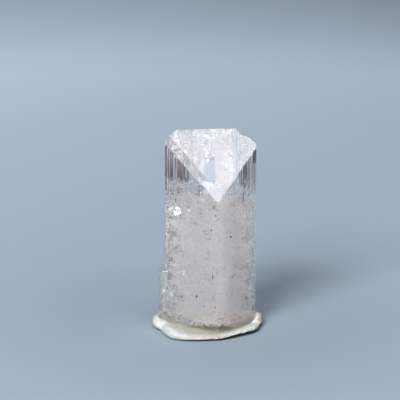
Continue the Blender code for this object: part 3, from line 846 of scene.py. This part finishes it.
putty = dict(
    stations=(                    # plan place from the front edge, height of the lip, gap under it
        (-1.9, -1.8, 0.9, 0.3), (0.3, -1.7, 0.9, 0.3), (2.3, -0.75, 1.05, 0.4), (4.45, 0.45, 1.2, 0.45),
        (6.6, 1.75, 1.4, 0.45), (8.2, 3.1, 1.6, 0.4), (9.1, 5.3, 1.5, 0.3), (10.08, 9.0, 2.4, 0.2),
        (10.08, 13.0, 1.5, 0.1), (8.3, 17.0, 1.8, 0.0), (5.0, 20.2, 2.0, 0.0), (0.8, 22.38, 2.1, 0.0),
        (-3.8, 22.48, 2.1, 0.0), (-8.3, 19.9, 2.2, 0.0), (-10.6, 16.0, 2.1, 0.0), (-12.0, 13.0, 1.5, 0.1),
        (-12.62, 10.0, 2.4, 0.2), (-12.3, 7.3, 2.2, 0.3), (-11.4, 5.6, 1.9, 0.3), (-10.85, 2.8, 2.0, 0.25),
        (-9.4, -0.3, 1.9, 0.25), (-7.0, -1.5, 1.5, 0.25), (-4.5, -1.8, 1.15, 0.3),
    ),
    section=(                     # inset from the outline, share of the lip's height
        (0.55, 0.0), (0.12, 0.14), (0.0, 0.42), (0.16, 0.74), (0.55, 0.95), (0.95, 1.0), (1.3, 0.9),
    ),
    creases=(                     # where two lobes meet: place, width and depth
        ((-11.35, 5.6), 0.4, 0.75), ((9.05, 5.9), 0.5, 0.5),
    ),
    contactInset=1.7,
    slope=((1.45, 0.65), (1.6, 0.35), (1.75, 0.12), (1.9, 0.0)),
    dishHeight=0.5,
    dishShares=(                  # rings towards the middle, how far the lip still fills them
        (0.95, 0.8), (0.9, 0.6), (0.85, 0.42), (0.8, 0.27), (0.74, 0.12),
        (0.67, 0.03), (0.6, 0.0), (0.45, 0.0), (0.3, 0.0), (0.15, 0.0),
    ),
    fillLevel=0.9,                # share of the lip's height that the fill reaches
    fillRight=5.0,                # the fill starts this far to the right of the front edge
    fillReach=6.0,                # and grows over this width
    fillDepth=9.0,                # it ends at this depth
    trim=0.03,                    # the fine surface lies this far inside the plain solid
    pointsPerSpan=12,
    dimple=0.3,
    dents=0.22,
    colour=(0.73, 0.73, 0.675, 1.0),
    dustyColour=(0.60, 0.61, 0.56, 1.0),
    recessShadeColour=(0.52, 0.51, 0.42, 1.0),    # painted shade: the dish behind the lip is coloured darker and yellower where the crystal's foot shades it
    recessShadeHeights=(0.95, 0.5),    # none of it above the first, full below the second
    recessShadeFacing=(0.2, 0.75),     # only where the surface faces up
    # painted shadow: a dark rim where the putty meets the floor stands in for the contact shadow under the
    # lip
    contactShadowColour=(0.035, 0.035, 0.03, 1.0),
    contactShadowLeast=0.12,              # how high the painted contact shadow reaches at its faintest place
    contactShadowMost=0.95,
    contactShadowRise=0.075,              # more for every millimetre to either side of that place
    faintestShadowAt=-7.0,
    contactShadowEdge=0.08,
    contactShadowFacing=0.35,             # only where the surface faces up less than this
    dustScale=420.0,
    printScale=620.0,             # finger ridges
    printBend=9.0,
    printShare=0.45,
    grainScale=1800.0,
    reliefStrength=0.55,
    reliefDepth=0.08,
)


def smoothThrough(values, count, closed):
    # Catmull-Rom with count points for each span
    total = len(values)
    found = []
    for index in range(total if closed else total - 1):
        around = range(index - 1, index + 3)
        a, b, c, d = (values[at % total if closed else min(max(at, 0), total - 1)] for at in around)
        for part in range(count):
            t = part / count
            found.append(0.5 * (
                2 * b + (c - a) * t + (2 * a - 5 * b + 4 * c - d) * t * t
                + (3 * b - a - 3 * c + d) * t ** 3
            ))
    return found if closed else found + [values[-1]]


def puttyRim():
    # plan point, lip height, gap under the lip and inward normal all round
    edge = Vector(crystal["frontEdge"])
    stations = [Vector((x + edge.x, y + edge.y, lip, gap)) for x, y, lip, gap in putty["stations"]]
    line = smoothThrough(stations, putty["pointsPerSpan"], True)
    rim = []
    for index, here in enumerate(line):
        along = (line[(index + 1) % len(line)].xy - line[index - 1].xy).normalized()
        inward = Vector((-along.y, along.x))
        rim.append((here.xy + inward * putty["trim"], here.z, max(0.0, here.w), inward))
    return rim


def frontFill(point):
    # 1 at the front and left front of the pad, 0 at its right and its back
    across, depth = point.x - crystal["frontEdge"][0], point.y - crystal["frontEdge"][1]
    share = min(1.0, max(0.0, (putty["fillRight"] - across) / putty["fillReach"]))
    return share * min(1.0, max(0.0, putty["fillDepth"] - depth))


def dishPoint(spot, lip, share):
    # on the dish, or up to the fill's level under the lip where the share is 1
    dish = putty["dishHeight"]
    rough = 0.08 * wave(spot.x * 1.6, spot.y * 1.6, 4.0)
    return Vector((spot.x, spot.y, dish + rough + (lip * putty["fillLevel"] - dish) * share))


def makePutty():
    rim = puttyRim()
    middle = sum((point for point, _, _, _ in rim), Vector((0.0, 0.0))) / len(rim)
    section = smoothThrough([Vector(pair) for pair in putty["section"]], 4, False)
    edge = Vector(crystal["frontEdge"])
    rings = [[(point + inward * putty["contactInset"]).to_3d() for point, _, _, inward in rim]]
    for inset, share in section:
        ring = []
        for point, lip, gap, inward in rim:
            dent = putty["dimple"] * wave(point.x * 0.55, point.y * 0.55, share * 2.0)
            dent += putty["dents"] * wave(point.x * 1.7, point.y * 1.7, share * 3.0)
            fold = sum(
                depth * math.exp(-((point - edge - Vector(place)).length / width) ** 2)
                for place, width, depth in putty["creases"]
            )
            spot = point + inward * (inset + (max(0.0, dent) + fold) * min(1.0, share * 2.0))
            low = fold + putty["dents"] * max(0.0, wave(point.x * 1.1, point.y * 1.1, 6.0 + inset))
            ring.append(Vector((spot.x, spot.y, max(0.0, gap + (lip - gap) * share - low * share))))
        rings.append(ring)
    for inset, sink in putty["slope"]:
        fade = 1.0 - 0.12 * (inset - putty["section"][-1][0])
        rings.append([
            dishPoint(point + inward * inset, lip, max(sink, frontFill(point) * fade))
            for point, lip, _, inward in rim
        ])
    last = putty["slope"][-1][0]
    for share, fill in putty["dishShares"]:
        rings.append([
            dishPoint(middle + (point + inward * last - middle) * share, lip, fill * frontFill(point))
            for point, lip, _, inward in rim
        ])
    made = loft("mountingPutty", rings)
    made.data.shade_smooth()
    print("putty:", len(made.data.polygons), "faces")
    return made


def puttyMaterial():
    material, tree, shader = newMaterial("white putty")
    place = objectPlace(tree)
    parts = splitUp(tree, place)
    facing = splitUp(tree, addNode(tree, "NewGeometry", {}).outputs["Normal"])["Z"]
    dust = noiseAt(tree, place, putty["dustScale"], 4.0)
    handled = colourRamp(tree, dust, ((0.38, putty["dustyColour"]), (0.6, putty["colour"])))
    # painted shade: the low dish that faces up is coloured darker, as in the crystal's shadow
    recessShadeMask = [
        remap(tree, parts["Z"], *(height * mm for height in putty["recessShadeHeights"])),
        remap(tree, facing, *putty["recessShadeFacing"]),
    ]
    shadedDish = mixColours(tree, mathNode(tree, "MULTIPLY", *recessShadeMask), handled, putty["recessShadeColour"])
    # painted shadow: dark where the putty meets the floor, most at the right front, in place of the contact
    # shadow under the lip
    reach = mathNode(tree, "ABSOLUTE", mathNode(tree, "ADD", parts["X"], -putty["faintestShadowAt"] * mm))
    reach = mathNode(tree, "MULTIPLY_ADD", reach, putty["contactShadowRise"], putty["contactShadowLeast"] * mm)
    reach = mathNode(tree, "MINIMUM", reach, putty["contactShadowMost"] * mm)
    above = mathNode(tree, "SUBTRACT", reach, parts["Z"])
    contactShadow = mathNode(tree, "DIVIDE", above, putty["contactShadowEdge"] * mm, clamp=True)
    contactShadow = mathNode(tree, "MULTIPLY", contactShadow, mathNode(tree, "LESS_THAN", facing, putty["contactShadowFacing"]))
    inputs = {"Vector": place, "Scale": putty["printScale"], "Distortion": putty["printBend"], "Detail": 2.0}
    prints = addNode(tree, "TexWave", inputs).outputs["Fac"]
    grain = noiseAt(tree, place, putty["grainScale"], 5.0)
    relief = mathNode(tree, "MULTIPLY_ADD", prints, putty["printShare"], grain)
    bump = addNode(tree, "Bump", {
        "Height": relief, "Strength": putty["reliefStrength"], "Distance": putty["reliefDepth"] * mm,
    })
    setInputs(tree, shader, {
        "Base Color": mixColours(tree, contactShadow, shadedDish, putty["contactShadowColour"]), "Roughness": 0.5,
        "Normal": bump.outputs["Normal"],
    })
    return material


# floor, lights and camera

stageSet = dict(
    floorColour=(0.37, 0.447, 0.517),
    paintedSideLight=2.1,               # painted light: how much paler the paper is painted to the left, far behind, as if lit more from the left
    paintedFloorLight=(                   # painted light: a paler ring painted on the paper some way behind, in place of how the lamps light it: share of paintedLightReach, gain
        (0.0, 0.93), (0.06, 0.96), (0.13, 1.09), (0.3, 1.2), (0.46, 1.33),
        (0.62, 1.51), (0.7, 1.47), (0.81, 1.27), (0.93, 1.1),
    ),
    paintedLightReach=420.0,
    flatRadius=620.0,
    wallRadius=820.0,
    wallHeight=170.0,
    wallSteps=12,
    sides=96,
    roomColour=(0.14, 0.15, 0.165, 1.0),
)
softboxes = {  # azimuth, elevation, distance, size, watts, colour
    "key": (-32.0, 36.0, 2100.0, 900.0, 40.0, (1.0, 1.0, 1.0)),
    "fill": (40.0, 30.0, 2100.0, 1500.0, 4.0, (1.0, 1.0, 1.0)),
    "overhead": (23.0, 77.0, 1680.0, 560.0, 5.6, (0.93, 0.98, 1.09)),
    "bandGlint": (-15.7, 69.9, 1680.0, 230.0, 0.42, (0.97, 0.96, 1.06)),    # the turned facet mirrors it
}
darkCards = {  # lowest and highest corner on the floor, darkest and lightest colour
    "tableRight": ((85.0, -420.0), (420.0, 420.0), (0.07, 0.045, 0.045, 1.0), (0.34, 0.27, 0.27, 1.0)),
    "tableLeft": ((-420.0, -420.0), (-62.0, 420.0), (0.006, 0.006, 0.008, 1.0), (0.09, 0.085, 0.09, 1.0)),
    "board": ((3.0, 96.0), (21.0, 145.0), (0.07, 0.08, 0.10, 1.0), (0.18, 0.19, 0.22, 1.0)),
}
cardHeight = 0.4                  # above the floor
cardScale = 26.0                  # of their patches
cameraSet = dict(azimuth=-5.1, elevation=14.5, distance=500.0, lens=225.0, sideways=3.63, aimHeight=29.09)


def direction(azimuth, elevation):
    a, e = math.radians(azimuth), math.radians(elevation)
    return Vector((math.sin(a) * math.cos(e), -math.cos(a) * math.cos(e), math.sin(e)))


def floorMaterial():
    material, tree, shader = newMaterial("blue grey board")
    place = objectPlace(tree)
    away = addNode(tree, "VectorMath", {0: place}, operation="LENGTH").outputs["Value"]
    # painted light: a paler ring and a paler left side are painted into the paper's colour
    share = remap(tree, away, 0.0, stageSet["paintedLightReach"] * mm)
    paintedLightRamp = colourRamp(tree, share, [
        (at, (*(gain * part for part in stageSet["floorColour"]), 1.0)) for at, gain in stageSet["paintedFloorLight"]
    ])
    sideways = mathNode(tree, "MULTIPLY", splitUp(tree, place)["X"], share)
    paintedSideGain = mathNode(tree, "MULTIPLY_ADD", sideways, -stageSet["paintedSideLight"], 1.0)
    floorWithPaintedLight = addNode(tree, "VectorMath", {0: paintedLightRamp, "Scale": paintedSideGain}, operation="SCALE").outputs["Vector"]
    setInputs(tree, shader, {"Base Color": floorWithPaintedLight, "Roughness": 0.8})
    return material


def makeStage():
    flat, wall, height = stageSet["flatRadius"], stageSet["wallRadius"], stageSet["wallHeight"]
    steps, sides = stageSet["wallSteps"], stageSet["sides"]
    profile = [(flat * share, 0.0) for share in (0.02, 0.2, 0.6, 1.0)]
    for step in range(1, steps + 1):
        turn = step / steps * math.pi / 2
        profile.append((flat + (wall - flat) * math.sin(turn), height * (1 - math.cos(turn))))
    turns = [side / sides * math.tau for side in range(sides)]
    bm = bmesh.new()
    layers = [
        [bm.verts.new((radius * math.cos(turn), radius * math.sin(turn), up)) for turn in turns]
        for radius, up in profile
    ]
    bm.faces.new(layers[0])
    for low, high in zip(layers, layers[1:]):
        for k in range(sides):
            bm.faces.new((low[k], high[k], high[(k + 1) % sides], low[(k + 1) % sides]))
    bmesh.ops.recalc_face_normals(bm, faces=bm.faces[:])
    floor = linkMesh("floor", bm)
    floor.data.shade_smooth()
    floor.data.materials.append(floorMaterial())


def makeCards():
    # dark tops beyond the paper and a small board, seen only through the crystal and in its faces
    for name, ((left, front), (right, rear), dark, light) in darkCards.items():
        bm = bmesh.new()
        corners = (left, front), (right, front), (right, rear), (left, rear)
        bm.faces.new([bm.verts.new((*corner, cardHeight)) for corner in corners])
        card = linkMesh(name, bm)
        stops = ((0.42, dark), (0.58, light))
        card.data.materials.append(patchyMaterial(name, cardScale, stops, 0.9, detail=2.0))
        card.visible_camera = card.visible_diffuse = card.visible_shadow = False


def makeLights():
    for name, (azimuth, elevation, distance, size, watts, colour) in softboxes.items():
        lamp = bpy.data.lights.new(name, "AREA")
        lamp.shape = "SQUARE"
        lamp.size = size * mm
        lamp.energy = watts
        lamp.color = colour
        away = direction(azimuth, elevation)
        made = placeObject(name, lamp)
        made.location = away * distance * mm
        made.rotation_euler = away.to_track_quat("Z", "Y").to_euler()
        made.visible_camera = False
    world = bpy.data.worlds.new("room")
    world.use_nodes = True
    backdrop = world.node_tree.nodes["Background"]
    backdrop.inputs["Color"].default_value = stageSet["roomColour"]
    backdrop.inputs["Strength"].default_value = 1.0
    bpy.context.scene.world = world


def makeCamera():
    view = bpy.data.cameras.new("camera")
    view.sensor_width = 36.0
    view.lens = cameraSet["lens"]
    view.clip_start, view.clip_end = 0.01, 10.0
    made = placeObject("camera", view)
    back = direction(cameraSet["azimuth"], cameraSet["elevation"])
    turn = math.radians(cameraSet["azimuth"])
    right = Vector((math.cos(turn), math.sin(turn), 0.0))
    aim = Vector((*crystal["frontEdge"], cameraSet["aimHeight"])) - right * cameraSet["sideways"]
    made.location = (aim + back * cameraSet["distance"]) * mm
    made.rotation_euler = back.to_track_quat("Z", "Y").to_euler()
    bpy.context.scene.camera = made


makeStage()
makeCards()
makeLights()
makeCamera()
print("floor, lights and camera set")
stone = makeCrystal()
hazes = [makeHaze(*layer) for layer in veils["layers"]]
cracks, silver, specks = makeFlakes(), makeFlashes(), makeGrains()
pad = makePutty()
healed = patchyMaterial("healed fractures", **veils["finish"])
finishes = [
    (stone, crystalMaterial()),
    *((haze, healed) for haze in hazes),
    (cracks, patchyMaterial("pale cracks", **flakes["finish"])),
    (silver, patchyMaterial("silvery cracks", **flakes["flashFinish"])),
    (specks, patchyMaterial("dark grains", **grainSet["finish"])),
    (pad, puttyMaterial()),
]
for piece, material in finishes:
    piece.data.materials.clear()
    piece.data.materials.append(material)
    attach(piece, "root")
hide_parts("danburite_crystal")
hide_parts("mounting_putty")
print("pieces ride on the frame")

bpy.context.scene.view_settings.view_transform = "Standard"
cycles = bpy.context.scene.cycles
cycles.blur_glossy = 0.0
cycles.sample_clamp_indirect = 0.0
cycles.max_bounces = 128
cycles.diffuse_bounces = 64
cycles.glossy_bounces = 64
cycles.transmission_bounces = 64
